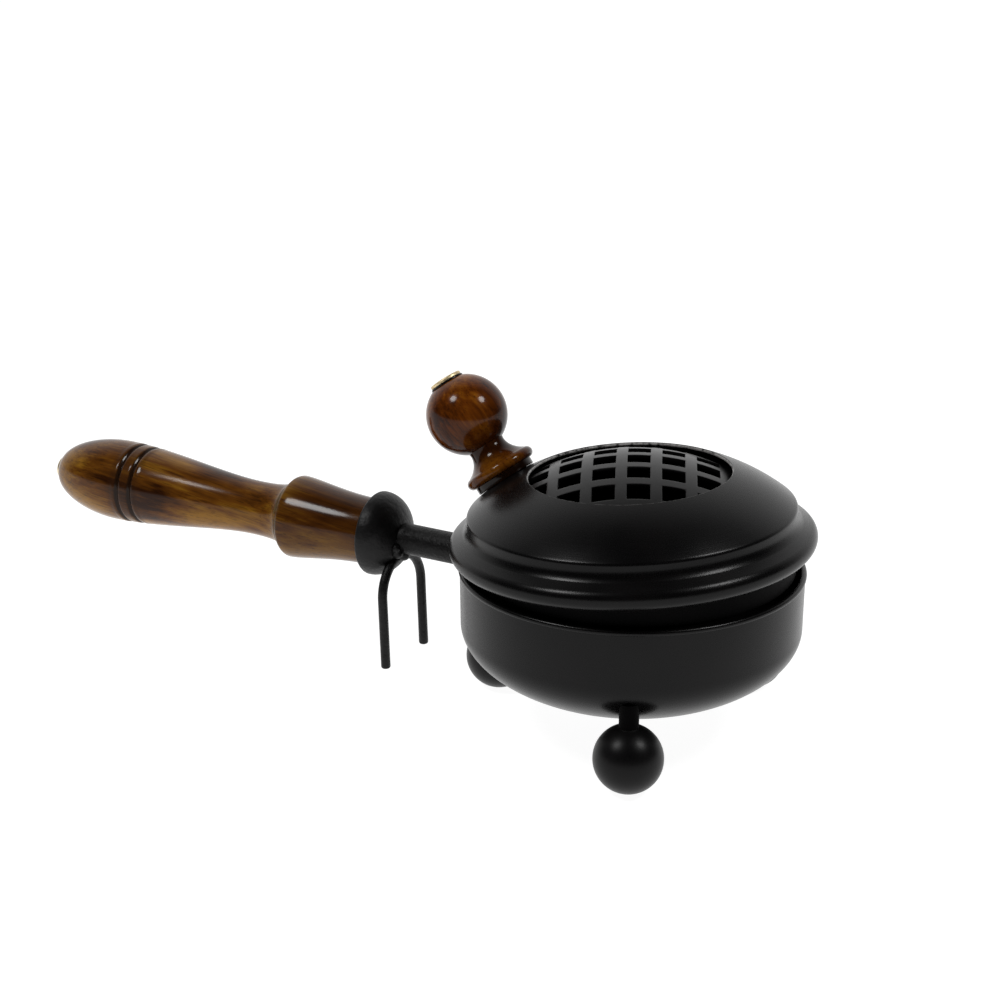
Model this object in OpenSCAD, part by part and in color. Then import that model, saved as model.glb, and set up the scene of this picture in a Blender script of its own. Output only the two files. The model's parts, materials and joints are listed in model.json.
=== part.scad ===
// Hand-held charcoal pan: a spun steel bowl on three ball feet, with a turned
// wooden handle and a hinged lid that carries a domed grille and a thumb knob.
// The bowl axis is Z, the ground is z = 0 and the handle runs along -X.

/* [Bowl] */
// Outer radius of the bowl's rolled rim
rim_r = 50; // [46:0.5:54]
// Height of the rim above the ground
rim_z = 49.4; // [48:0.2:51]
// Thickness of the bowl's sheet steel
bowl_t = 1.2; // [0.8:0.1:1.6]
// Radius of the flat floor under the bowl
floor_r = 24; // [20:1:28]

/* [Feet] */
// Radius of each ball foot
ball_r = 9.9; // [9:0.1:10.5]
// Radius of the circle through the three feet
feet_r = 46; // [43:0.5:47]
// Angle of the two front feet from the nose of the pan
front_foot_angle = 63.5; // [50:0.5:75]
// Angle of the rear foot from the nose of the pan
rear_foot_angle = 176; // [170:1:190]

/* [Handle] */
// Height of the handle's axis above the ground
handle_z = 42.8; // [42.2:0.1:43]
// Radius of the steel rod between bowl and ferrule
rod_r = 4.7; // [4:0.1:4.7]
// Distance of the handle's tip from the bowl axis
tip_s = 207.4; // [200:0.2:220]
// Largest radius of the black ferrule cup
ferrule_r = 12.9; // [12:0.1:14]

/* [Fork] */
// Radius of the wire that the rest fork is bent from
wire_r = 1.45; // [1.2:0.05:1.7]
// Half of the distance between the fork's legs
fork_half = 11; // [9:0.5:12]
// Clearance of the fork's ends above the ground
fork_gap = 4; // [2:0.1:6]

/* [Lid] */
// Angle that the lid stands open in the resting pose
lid_ajar = 3.6; // [0:0.1:10]
// Radius of the round opening in the lid
opening_r = 29; // [28:0.5:30]
// Outer radius of the bead around the lid
bead_r = 52.7; // [52:0.1:54]
// Thickness of the lid's sheet steel
lid_t = 1.1; // [0.8:0.1:1.3]
// Outer radius of the skirt that drops into the bowl
skirt_r = 46.4; // [45.5:0.1:46.5]

/* [Grille] */
// Pitch of the square holes
grille_pitch = 9.76; // [9:0.01:12]
// Side of each square hole
grille_hole = 6.45; // [5:0.05:7]
// Angle of the hole pattern about the lid's axis
grille_turn = 25.9; // [0:0.1:45]

/* [Knob] */
// Radius of the knob's ball
knob_ball_r = 12; // [11:0.5:12]
// Distance of the knob's foot from the lid's axis
knob_at_r = 41; // [38:0.5:41.5]

/* [Hidden] */

steel_black = [0.05, 0.05, 0.055];
wood_brown = [0.30, 0.15, 0.07];
brass_yellow = [0.78, 0.62, 0.32];
steel_grey = [0.45, 0.45, 0.46];

smooth = 96;
eps = 0.01;
// Gap left where one piece is trimmed against another's rounded face
trim_gap = 0.02;

// Bowl: an upright wall above a shallow elliptical curve
wall_r = rim_r - 0.6;
curve_top_z = rim_z - 17.2;
curve_axis_r = -15;
curve_a = wall_r - curve_axis_r;
curve_b = 24.6;
curve_start = asin((floor_r - curve_axis_r) / curve_a);
lip_h = 1.5;

// Feet
foot_angles = [rear_foot_angle, front_foot_angle, -front_foot_angle];
stud_r = 2.1;
neck_r = 2.8;
stud_depth = 8;

// Handle stations are distances s from the bowl axis
ferrule_mouth_s = 86.3;
ferrule_depth = 9.8;
ferrule_t = 1.3;
grip_front_s = 79;
tang_r = 2.5;
tang_bore_r = 2.6;
collar_s = 115.3;
waist_s = 131;
belly_s = 184;
groove_s = [172.9, 177.6];
groove_w = 1.3;
groove_d = 0.7;
end_r = 4.2;
end_washer_r = 4.1;
end_washer_t = 0.4;
end_shank_r = 3.5;
end_cap_r = 3.9;

// Fork
fork_s = 78.7;
fork_lean = 2;
fork_top_z = handle_z - rod_r - wire_r + 0.4;

// Lid, with heights measured from the rim when it is shut
lid_forward = 0.4;
pin_r = 1.1;
barrel_r = 2.2;
pin = [-53.8, 0, handle_z + rod_r + barrel_r];
barrel_half = 3;
ear_gap = 3.3;
ear_t = 1.6;
dome_c = [6.3, -33.65];
dome_r = 62.4;
shoulder_r = 46.7;
shoulder_c = [shoulder_r - 1.04, 12.69];
shoulder_round = 1.6;
cove_c = [51.9, 12];
cove_r = 4.6;
bead_c = [bead_r - 3.3, 4.5];
bead_round = 3.3;
hem_r = 47.5;
skirt_t = 0.9;
skirt_drop = 6;
flange_z = bead_c[1] - bead_round;

// Grille
grille_ball_r = 64.5;
grille_ball_c = [-1, 0, -35.7];
grille_t = 1.2;
grille_dome_r = 33.8;
grille_brim_r = 36.4;
grille_brim_z = 19.7;
grille_shift = [2.75, -0.75];

// Knob, with distances w along its own axis from the lid
knob_tilt = asin((knob_at_r - dome_c[0]) / dome_r);
knob_ball_w = 21.7;
knob_lift = 0.03;
knob_plinth = 1.5;
knob_hollow = 0.48;
knob_foot_r = 9.2;
knob_neck_r = 5.5;
knob_flat_r = 5.3;
knob_top_w = knob_ball_w + sqrt(knob_ball_r * knob_ball_r - knob_flat_r * knob_flat_r);
screw_r = 2;
screw_end_w = -7;
disc_r = 4.9;
top_washer_r = 5.2;
top_washer_t = 0.5;
washer_r = 4;
washer_t = 0.8;
// The flat washer stands off the curved sheet
washer_gap = 0.3;
nut_r = 4.04;
nut_h = 3;

// Points along an arc about c, from angle a0 to a1
function arc(c, r, a0, a1, n = 12) =
    [for (i = [0:n]) c + r * [cos(a0 + (a1 - a0) * i / n), sin(a0 + (a1 - a0) * i / n)]];

// Points along a cubic curve with end points p, s and handles q, r
function curve(p, q, r, s, n = 12) =
    [for (i = [0:n]) let (t = i / n, u = 1 - t)
        u * u * u * p + 3 * u * u * t * q + 3 * u * t * t * r + t * t * t * s];

// The bowl's curve, set in from the outside by d
function bowl_curve(d) =
    [for (i = [0:14]) let (t = curve_start + (90 - curve_start) * i / 14)
        [curve_axis_r + (curve_a - d) * sin(t), curve_top_z - (curve_b - d) * cos(t)]];

// Outline of the bowl's outside, from the axis to the lip
bowl_outside = concat(
    [[0, bowl_curve(0)[0][1]]],
    bowl_curve(0),
    [[wall_r, rim_z - lip_h], [rim_r - 0.1, rim_z - lip_h + 0.5], [rim_r, rim_z - 0.5], [rim_r - 0.3, rim_z]]
);
// Outline of the bowl's inside, from the lip to the axis
bowl_inside = concat(
    [[wall_r - bowl_t + 0.3, rim_z], [wall_r - bowl_t, rim_z - 0.3]],
    [for (i = [14:-1:0]) bowl_curve(bowl_t)[i]],
    [[0, bowl_curve(bowl_t)[0][1]]]
);

// Height of the lid's dome at radius r, set in by d
function dome_z(r, d = 0) = dome_c[1] + sqrt(pow(dome_r - d, 2) - pow(r - dome_c[0], 2));
function dome_angle(r, d = 0) = acos((r - dome_c[0]) / (dome_r - d));

// Outline of the lid's outside, from the opening to the hem
lid_outside = concat(
    arc(dome_c, dome_r, dome_angle(opening_r), dome_angle(shoulder_r), 14),
    arc(shoulder_c, shoulder_round, 45, 0, 4),
    arc(cove_c, cove_r, 180, 228, 8),
    arc(bead_c, bead_round, 56, -90, 16),
    [[hem_r, flange_z]]
);
// Outline of the lid's inside, from the hem to the opening
lid_inside = concat(
    [[hem_r, flange_z + lid_t]],
    arc(bead_c, bead_round - lid_t, -90, 56, 12),
    arc(cove_c, cove_r + lid_t, 226, 182, 6),
    arc(dome_c, dome_r - lid_t, dome_angle(shoulder_r - 0.8, lid_t), dome_angle(opening_r, lid_t), 14)
);

// Outline of the turned grip: s runs from the ferrule to the tip
grip_outline = concat(
    [[grip_front_s, 0], [grip_front_s, 5.5], [80, 7.2], [81, 8.4], [82.5, 9.6], [84.5, 10.1]],
    curve([90, 10.2], [100, 10.4], [108, 12.1], [113.6, 12.7], 8),
    arc([collar_s, 10.9], 1.95, 85, 5, 5),
    [[118.6, 10.9], [118.9, 10.1]],
    curve([119.6, 9.7], [122, 8.7], [126, 8.4], [waist_s, 8.4], 8),
    curve([waist_s + 1, 8.4], [146, 8.5], [166, 12.7], [belly_s - 1, 12.85], 16),
    curve([belly_s, 12.85], [194.5, 12.85], [tip_s - 1.6, 9], [tip_s, end_r], 14),
    [[tip_s, 0]]
);

// Outline of the knob: w runs from the lid to the flat top
knob_neck_angle = -62;
knob_outline = concat(
    [[0, 0], [3, 0], [6, -knob_hollow * 0.4], [knob_foot_r, -knob_hollow], [knob_foot_r, knob_plinth]],
    arc([knob_foot_r, knob_plinth + 1.7], 1.7, -80, 80, 8),
    curve([9, 5.2], [7.4, 6.1], [5.6, 7.9], [knob_neck_r, 10.3], 8),
    arc([0, knob_ball_w], knob_ball_r, knob_neck_angle, acos(knob_flat_r / knob_ball_r), 20),
    [[0, knob_top_w]]
);

// Places a child with its own Z along the handle's axis, pointing away from the bowl
module along_handle(s = 0) {
    translate([-s, 0, handle_z]) rotate([0, -90, 0]) children();
}

// Turns the lid's children about the hinge pin, from shut to the resting pose
module on_lid() {
    translate(pin) rotate([0, -lid_ajar, 0]) translate(-pin) translate([lid_forward, 0, rim_z]) children();
}

// Places a child with its own Z along the knob's axis, at its foot
module on_knob() {
    on_lid()
        translate([-knob_at_r, 0, dome_z(knob_at_r)])
            rotate([0, -knob_tilt, 0]) translate([0, 0, knob_lift]) children();
}

module spin(points) {
    rotate_extrude($fn = smooth) polygon(points);
}

// Solid of revolution whose outline is given as [distance along the axis, radius]
module turned(points) {
    rotate_extrude($fn = smooth) polygon([for (p = points) [p[1], p[0]]]);
}

module bowl_solid() {
    spin(concat(bowl_outside, [[0, rim_z]]));
}

module bowl() {
    color(steel_black) spin(concat(bowl_outside, bowl_inside));
}

module at_foot(angle) {
    rotate([0, 0, angle]) translate([feet_r, 0, 0]) children();
}

module foot_ball(angle) {
    color(steel_black)
        at_foot(angle)
            difference() {
                translate([0, 0, ball_r]) sphere(r = ball_r, $fn = smooth);
                translate([0, 0, 2 * ball_r - stud_depth]) cylinder(r = stud_r, h = stud_depth + 1, $fn = 48);
            }
}

module foot_stud(angle) {
    color(steel_black)
        difference() {
            at_foot(angle) {
                translate([0, 0, 2 * ball_r - stud_depth]) cylinder(r = stud_r, h = stud_depth + 6, $fn = 48);
                difference() {
                    translate([0, 0, 2 * ball_r - 1]) cylinder(r = neck_r, h = 8, $fn = 48);
                    translate([0, 0, ball_r]) sphere(r = ball_r, $fn = smooth);
                }
            }
            bowl_solid();
        }
}

module handle_rod() {
    color(steel_black) {
        difference() {
            along_handle(rim_r - 6) cylinder(r = rod_r, h = grip_front_s - rim_r + 6, $fn = 64);
            bowl_solid();
        }
        along_handle(grip_front_s - eps) cylinder(r = tang_r, h = tip_s - 1 - grip_front_s, $fn = 48);
    }
}

module rod_weld() {
    color(steel_black)
        difference() {
            along_handle(wall_r - 2) cylinder(r1 = rod_r + 1.5, r2 = rod_r + 0.1, h = 3.8, $fn = 64);
            along_handle(0) cylinder(r = rod_r + trim_gap, h = tip_s, $fn = 64);
            cylinder(r = wall_r + trim_gap, h = 2 * rim_z, $fn = 3 * smooth);
            translate([0, 0, rim_z - lip_h - trim_gap]) cylinder(r = rim_r + trim_gap, h = rim_z, $fn = 3 * smooth);
        }
}

// Points down the ferrule's dome, set in by d, from its mouth to radius r
function ferrule_curve(d, r, n = 14) =
    [for (i = [0:n]) let (t = acos(r / (ferrule_r - d)) * i / n)
        [ferrule_mouth_s - (ferrule_depth - d) * sin(t), (ferrule_r - d) * cos(t)]];

// The ferrule's whole dome, a hair larger than the cup, to trim the fork and its weld
module ferrule_solid() {
    along_handle(0) turned(concat([[ferrule_mouth_s, 0]], ferrule_curve(-trim_gap, 0)));
}

module ferrule_cup() {
    outside = [for (i = [14:-1:0]) ferrule_curve(0, rod_r)[i]];
    inside = ferrule_curve(ferrule_t, rod_r);
    mouth = arc([ferrule_mouth_s + 0.2, ferrule_r - ferrule_t / 2], ferrule_t / 2, 90, -90, 6);
    color(steel_black) along_handle(0) turned(concat(outside, mouth, inside));
}

module handle_grip() {
    color(wood_brown)
        along_handle(0)
            difference() {
                turned(grip_outline);
                translate([0, 0, grip_front_s - 1]) cylinder(r = tang_bore_r, h = tip_s, $fn = 48);
                translate([0, 0, tip_s - 6]) cylinder(r = 3.7, h = 8, $fn = 48);
                for (s = groove_s)
                    turned([[s - groove_w, 14], [s, 12.5 - groove_d], [s + groove_w, 14]]);
            }
}

module end_washer() {
    color(steel_grey)
        along_handle(tip_s)
            difference() {
                cylinder(r = end_washer_r, h = end_washer_t, $fn = 48);
                translate([0, 0, -1]) cylinder(r = end_shank_r, h = 3, $fn = 48);
            }
}

module end_nut() {
    color(brass_yellow)
        along_handle(0)
            difference() {
                turned([
                    [tip_s - 5.5, 0], [tip_s - 5.5, end_shank_r],
                    [tip_s + end_washer_t, end_shank_r], [tip_s + end_washer_t, end_cap_r],
                    [tip_s + 1, end_cap_r], [tip_s + 1.4, 3.2], [tip_s + 1.6, 1.6], [tip_s + 1.65, 0]
                ]);
                translate([0, 0, tip_s - 6]) cylinder(r = tang_r, h = 5, $fn = 48);
            }
}

// The bent wire, before it is trimmed to the rod
module fork_wire() {
    leg_h = fork_top_z - fork_half - fork_gap;
    translate([-fork_s, 0, fork_top_z])
        rotate([0, -fork_lean, 0])
            translate([0, 0, -fork_half]) {
                rotate([90, 0, 90])
                    rotate_extrude(angle = 180, $fn = smooth) translate([fork_half, 0]) circle(r = wire_r, $fn = 32);
                for (side = [-1, 1])
                    translate([0, side * fork_half, -leg_h]) cylinder(r = wire_r, h = leg_h + eps, $fn = 32);
            }
}

module rest_fork() {
    color(steel_black)
        difference() {
            fork_wire();
            along_handle(0) cylinder(r = rod_r + trim_gap, h = grip_front_s, $fn = 64);
            ferrule_solid();
        }
}

module fork_weld() {
    color(steel_black)
        difference() {
            union() {
                for (p = [[-1.2, -2.6, 0.2], [-0.6, 1.4, -0.3], [1.3, -0.6, 0.3], [-1, -0.4, 1]])
                    translate([-fork_s, 0, fork_top_z + 0.6] + p) sphere(r = 2.3, $fn = 32);
            }
            along_handle(0) cylinder(r = rod_r + trim_gap, h = grip_front_s, $fn = 64);
            ferrule_solid();
            fork_wire();
        }
}

module hinge_barrel() {
    color(steel_black)
        translate(pin) rotate([90, 0, 0])
            difference() {
                cylinder(r = barrel_r, h = 2 * barrel_half, center = true, $fn = 48);
                cylinder(r = pin_r + 0.06, h = 4 * barrel_half, center = true, $fn = 48);
            }
}

module hinge_weld() {
    color(steel_black)
        difference() {
            translate([pin[0] - 2, -barrel_half + 0.5, handle_z + rod_r - 1.5])
                cube([4, 2 * barrel_half - 1, 2.6]);
            along_handle(0) cylinder(r = rod_r, h = grip_front_s, $fn = 64);
            translate(pin) rotate([90, 0, 0]) cylinder(r = barrel_r, h = 20, center = true, $fn = 48);
        }
}

module lid_shell() {
    color(steel_black)
        difference() {
            on_lid() spin(concat(lid_outside, lid_inside));
            on_knob() translate([0, 0, -5]) cylinder(r = screw_r + 0.2, h = 10, $fn = 48);
        }
}

module lid_skirt() {
    color(steel_black)
        on_lid()
            spin([
                [skirt_r, flange_z - skirt_t], [49, flange_z - skirt_t], [49, flange_z], [skirt_r - skirt_t, flange_z],
                [skirt_r - skirt_t, -skirt_drop], [skirt_r, -skirt_drop]
            ]);
}

module grille_holes() {
    reach = 3;
    intersection() {
        rotate([0, 0, grille_turn])
            for (i = [-reach:reach], j = [-reach:reach])
                translate([i * grille_pitch + grille_shift[0], j * grille_pitch + grille_shift[1], 20])
                    cube([grille_hole, grille_hole, 40], center = true);
        cylinder(r = grille_dome_r - 1.8, h = 60, $fn = smooth);
    }
}

module grille() {
    color(steel_black)
        on_lid()
            difference() {
                union() {
                    intersection() {
                        translate(grille_ball_c) sphere(r = grille_ball_r, $fn = 128);
                        cylinder(r = grille_dome_r, h = 60, $fn = smooth);
                    }
                    translate([0, 0, grille_brim_z - grille_t])
                        cylinder(r = grille_brim_r, h = grille_t, $fn = smooth);
                }
                translate(grille_ball_c) sphere(r = grille_ball_r - grille_t, $fn = 128);
                grille_holes();
            }
}

module knob() {
    color(wood_brown)
        on_knob()
            difference() {
                spin(knob_outline);
                translate([0, 0, -1]) cylinder(r = screw_r + 0.1, h = 40, $fn = 48);
            }
}

module knob_screw() {
    head_w = knob_top_w + top_washer_t;
    color(brass_yellow)
        on_knob() {
            translate([0, 0, screw_end_w]) cylinder(r = screw_r, h = head_w - screw_end_w + eps, $fn = 48);
            translate([0, 0, head_w])
                spin([[0, 0], [disc_r, 0], [disc_r, 0.7], [disc_r - 0.7, 1.1], [screw_r, 1.3], [0, 1.35]]);
        }
}

module knob_top_washer() {
    color(steel_black)
        on_knob()
            translate([0, 0, knob_top_w])
                difference() {
                    cylinder(r = top_washer_r, h = top_washer_t, $fn = 48);
                    translate([0, 0, -1]) cylinder(r = screw_r, h = 3, $fn = 48);
                }
}

module knob_washer() {
    color(steel_grey)
        on_knob()
            translate([0, 0, -knob_lift - lid_t - washer_gap - washer_t])
                difference() {
                    cylinder(r = washer_r, h = washer_t, $fn = 48);
                    translate([0, 0, -1]) cylinder(r = screw_r, h = 3, $fn = 48);
                }
}

module knob_nut() {
    color(steel_grey)
        on_knob()
            translate([0, 0, -knob_lift - lid_t - washer_gap - washer_t - nut_h])
                difference() {
                    rotate([0, 0, 30]) cylinder(r = nut_r, h = nut_h, $fn = 6);
                    translate([0, 0, -1]) cylinder(r = screw_r, h = nut_h + 2, $fn = 48);
                }
}

// Two ears that grip the pin, joined by a strap that lies on the lid's bead
module hinge_strap() {
    ear = [[-2.3, 0], [-2.1, -1.2], [-1.2, -2.1], [1, -2.1], [2.4, -0.6], [3.4, 0.9], [4, 4], [1.2, 4.2], [-1.5, 1.9]];
    strap = [[2, 1.7], [3.4, 0.9], [4, 4], [1.8, 4]];
    color(steel_black)
        difference() {
            on_lid() translate([-lid_forward, 0, -rim_z]) translate(pin) {
                for (side = [-1, 1])
                    translate([0, side * (ear_gap + ear_t / 2), 0])
                        rotate([90, 0, 0]) linear_extrude(height = ear_t, center = true) polygon(ear);
                rotate([90, 0, 0])
                    linear_extrude(height = 2 * ear_gap + eps, center = true) polygon(strap);
            }
            on_lid() spin(concat([[0, 60], [opening_r, 60]], lid_outside, [[0, flange_z]]));
            translate(pin) rotate([90, 0, 0]) cylinder(r = pin_r, h = 40, center = true, $fn = 48);
        }
}

module hinge_pin() {
    half = ear_gap + ear_t;
    color(steel_grey)
        translate(pin) rotate([90, 0, 0]) {
            cylinder(r = pin_r, h = 2 * half + eps, center = true, $fn = 48);
            for (side = [0, 1])
                mirror([0, 0, side]) translate([0, 0, half]) cylinder(r1 = 1.9, r2 = 1.3, h = 0.8, $fn = 48);
        }
}

bowl();
foot_ball(foot_angles[0]);  // foot_ball_rear
foot_ball(foot_angles[1]);  // foot_ball_left
foot_ball(foot_angles[2]);  // foot_ball_right
foot_stud(foot_angles[0]);  // foot_stud_rear
foot_stud(foot_angles[1]);  // foot_stud_left
foot_stud(foot_angles[2]);  // foot_stud_right
handle_rod();
rod_weld();
ferrule_cup();
handle_grip();
end_washer();
end_nut();
rest_fork();
fork_weld();
hinge_barrel();
hinge_weld();
lid_shell();
lid_skirt();
grille();
knob();
knob_screw();
knob_top_washer();
knob_washer();
knob_nut();
hinge_strap();
hinge_pin();
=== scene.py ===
"""Looks of a hand-held charcoal pan: spun black steel, turned and varnished wood, brass ends."""

import json
import math

import bpy
from mathutils import Matrix, Vector


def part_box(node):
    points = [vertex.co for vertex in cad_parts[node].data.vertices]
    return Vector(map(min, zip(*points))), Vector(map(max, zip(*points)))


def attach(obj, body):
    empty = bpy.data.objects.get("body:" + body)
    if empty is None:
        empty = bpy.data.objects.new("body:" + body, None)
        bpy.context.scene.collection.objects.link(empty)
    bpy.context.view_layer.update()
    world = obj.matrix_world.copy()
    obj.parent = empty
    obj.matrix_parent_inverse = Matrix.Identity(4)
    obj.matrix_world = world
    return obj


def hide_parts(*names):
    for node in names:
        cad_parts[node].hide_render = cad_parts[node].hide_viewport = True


bl_info = {
    "name": "Charcoal Pan",
    "version": (1, 0, 0),
    "blender": (4, 5, 0),
    "location": "View3D > Sidebar > Charcoal Pan",
    "description": "Models the steel, wood and brass of a hand-held charcoal pan around its fixed frame",
    "category": "Add Mesh",
}

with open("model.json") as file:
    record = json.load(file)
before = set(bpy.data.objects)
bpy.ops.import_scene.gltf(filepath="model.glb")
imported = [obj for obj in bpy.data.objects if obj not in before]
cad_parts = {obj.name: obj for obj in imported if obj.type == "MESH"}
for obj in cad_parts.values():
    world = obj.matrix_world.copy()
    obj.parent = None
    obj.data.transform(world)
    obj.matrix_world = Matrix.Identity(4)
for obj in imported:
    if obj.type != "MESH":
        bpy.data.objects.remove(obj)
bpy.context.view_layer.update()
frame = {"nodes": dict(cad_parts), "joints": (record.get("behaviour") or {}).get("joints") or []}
HINGE = frame["joints"][0]
MM = 0.001

# Places read from the frame
BOWL_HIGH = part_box("bowl")[1]
BALL_LOW, BALL_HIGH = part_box("foot_ball_left")
GRIP_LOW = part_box("handle_grip")[0]
ROD_LOW, ROD_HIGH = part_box("handle_rod")
FORK_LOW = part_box("rest_fork")[0]
PIN = Vector(HINGE["pos_m"])
LID_AJAR = -math.radians(HINGE["range_deg"][0])


# ---------------------------------------------------------------- settings


class PanSizes(bpy.types.PropertyGroup):
    """Sizes of the steel pan, its lid and its feet."""

    bowl_wall: bpy.props.FloatProperty(
        name="Bowl wall", description="Thickness of the bowl's sheet steel",
        default=1.2 * MM, unit="LENGTH")
    ball_radius: bpy.props.FloatProperty(
        name="Ball foot radius", description="Radius of each ball foot",
        default=(BALL_HIGH.x - BALL_LOW.x) / 2, unit="LENGTH")
    lid_wall: bpy.props.FloatProperty(
        name="Lid wall", description="Thickness of the lid's sheet steel",
        default=1.1 * MM, unit="LENGTH")
    opening_radius: bpy.props.FloatProperty(
        name="Opening radius", description="Radius of the round opening in the lid",
        default=29 * MM, unit="LENGTH")
    grille_pitch: bpy.props.FloatProperty(
        name="Grille pitch", description="Distance between the grille's holes",
        default=9.76 * MM, unit="LENGTH")
    grille_hole: bpy.props.FloatProperty(
        name="Grille hole", description="Side of each square hole",
        default=6.45 * MM, unit="LENGTH")


class HandleSizes(bpy.types.PropertyGroup):
    """Sizes of the handle, the fork under it and the knob."""

    rod_radius: bpy.props.FloatProperty(
        name="Rod radius", description="Radius of the steel rod in front of the grip",
        default=4.7 * MM, unit="LENGTH")
    ferrule_radius: bpy.props.FloatProperty(
        name="Ferrule radius", description="Largest radius of the black cup on the grip",
        default=12.9 * MM, unit="LENGTH")
    wire_radius: bpy.props.FloatProperty(
        name="Fork wire radius", description="Radius of the wire that the fork is bent from",
        default=1.45 * MM, unit="LENGTH")
    knob_radius: bpy.props.FloatProperty(
        name="Knob radius", description="Radius of the knob's ball",
        default=12 * MM, unit="LENGTH")


class Finishes(bpy.types.PropertyGroup):
    """Colours of the paint, the wood and the metal."""

    paint: bpy.props.FloatVectorProperty(
        name="Paint", description="Colour of the satin paint on the steel",
        subtype="COLOR", size=3, min=0, max=1, default=(0.0012, 0.0011, 0.0013))
    wood_dark: bpy.props.FloatVectorProperty(
        name="Dark wood", description="Colour of the stain where it is deepest",
        subtype="COLOR", size=3, min=0, max=1, default=(0.024, 0.0064, 0.0014))
    wood_mid: bpy.props.FloatVectorProperty(
        name="Brown wood", description="Colour of most of the stained wood",
        subtype="COLOR", size=3, min=0, max=1, default=(0.108, 0.036, 0.0040))
    wood_amber: bpy.props.FloatVectorProperty(
        name="Amber wood", description="Colour where the wood shows through the stain",
        subtype="COLOR", size=3, min=0, max=1, default=(0.245, 0.112, 0.0105))
    brass: bpy.props.FloatVectorProperty(
        name="Brass", description="Colour of the pale brass ends",
        subtype="COLOR", size=3, min=0, max=1, default=(0.84, 0.68, 0.41))


# ---------------------------------------------------------------- outlines, in millimetres


def arc(centre, radius, start, end, steps=12):
    """Points along an arc, from one angle to another in degrees."""
    angles = [math.radians(start + (end - start) * i / steps) for i in range(steps + 1)]
    return [(centre[0] + radius * math.cos(a), centre[1] + radius * math.sin(a)) for a in angles]


def curve(start, lead, trail, end, steps=12):
    """Points along a cubic curve whose two handles are lead and trail."""
    points = []
    for i in range(steps + 1):
        t = i / steps
        u = 1 - t
        weights = (u**3, 3 * u * u * t, 3 * u * t * t, t**3)
        corners = (start, lead, trail, end)
        points.append(tuple(sum(w * c[k] for w, c in zip(weights, corners)) for k in (0, 1)))
    return points


def swapped(points):
    """Turns (distance along the axis, radius) points into (radius, distance) points."""
    return [(radius, along) for along, radius in points]


RIM_R = BOWL_HIGH.x / MM
RIM_Z = BOWL_HIGH.z / MM
HANDLE_Z = (ROD_LOW.z + ROD_HIGH.z) / 2 / MM
TIP_S = -GRIP_LOW.x / MM
LID_FORWARD = 0.4
DOME_CENTRE = (6.3, -33.65)
DOME_R = 62.4
SHOULDER_R = 46.7
COVE_CENTRE = (51.9, 12)
COVE_R = 4.6
BEAD_CENTRE = (49.4, 4.5)
BEAD_R = 3.3
HEM_Z = 1.2
SKIRT_R = 46.4
SKIRT_DROP = 6
KNOB_AT_R = 41.0
KNOB_LIFT = 0.03
KNOB_BALL_W = 21.7
KNOB_FOOT_R = 9.2

# Stations along the handle, from the bowl's axis
ROD_START = 49.1
GRIP_FRONT = 79
FERRULE_MOUTH = 86.3
COLLAR = 115.3
GROOVES = (172.9, 177.6)
TANG_R = 2.5
NUT_SHANK_R = 3.5
NUT_HEAD_R = 3.9


def dome_height(radius, inset=0.0):
    """Height of the lid's dome above the rim, at a distance from the lid's axis."""
    return DOME_CENTRE[1] + math.sqrt((DOME_R - inset) ** 2 - (radius - DOME_CENTRE[0]) ** 2)


def dome_angle(radius, inset=0.0):
    """Angle on the dome's arc, at a distance from the lid's axis."""
    return math.degrees(math.acos((radius - DOME_CENTRE[0]) / (DOME_R - inset)))


# ---------------------------------------------------------------- modelling


def clear_selection():
    """Leaves edit mode and selects nothing, so that an operator acts on new work alone."""
    if bpy.context.object and bpy.context.object.mode != "OBJECT":
        bpy.ops.object.mode_set(mode="OBJECT")
    bpy.ops.object.select_all(action="DESELECT")


def pick(obj):
    """Makes one object the only selected and the active one."""
    clear_selection()
    obj.select_set(True)
    bpy.context.view_layer.objects.active = obj


def settle(obj, place):
    """Puts an object in its place and leaves that place in its mesh."""
    pick(obj)
    obj.matrix_world = place
    bpy.ops.object.transform_apply(location=True, rotation=True, scale=True)


def smooth(obj, angle=34):
    """Shades an object smooth, except over edges sharper than the angle."""
    pick(obj)
    bpy.ops.object.shade_smooth_by_angle(angle=math.radians(angle))


def use_modifier(obj, kind, **settings):
    """Adds one modifier to an object and applies it."""
    pick(obj)
    modifier = obj.modifiers.new(kind.lower(), kind)
    for key, value in settings.items():
        setattr(modifier, key, value)
    bpy.ops.object.modifier_apply(modifier=modifier.name)


def start_point(name, place):
    """Starts an object as one vertex, in edit mode, with that vertex selected."""
    clear_selection()
    bpy.ops.mesh.primitive_plane_add(size=MM)
    obj = bpy.context.object
    obj.name = name
    obj.data.name = name
    bpy.ops.object.mode_set(mode="EDIT")
    bpy.ops.mesh.select_all(action="SELECT")
    bpy.ops.mesh.merge(type="CENTER")
    bpy.ops.transform.translate(value=place)
    return obj


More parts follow.
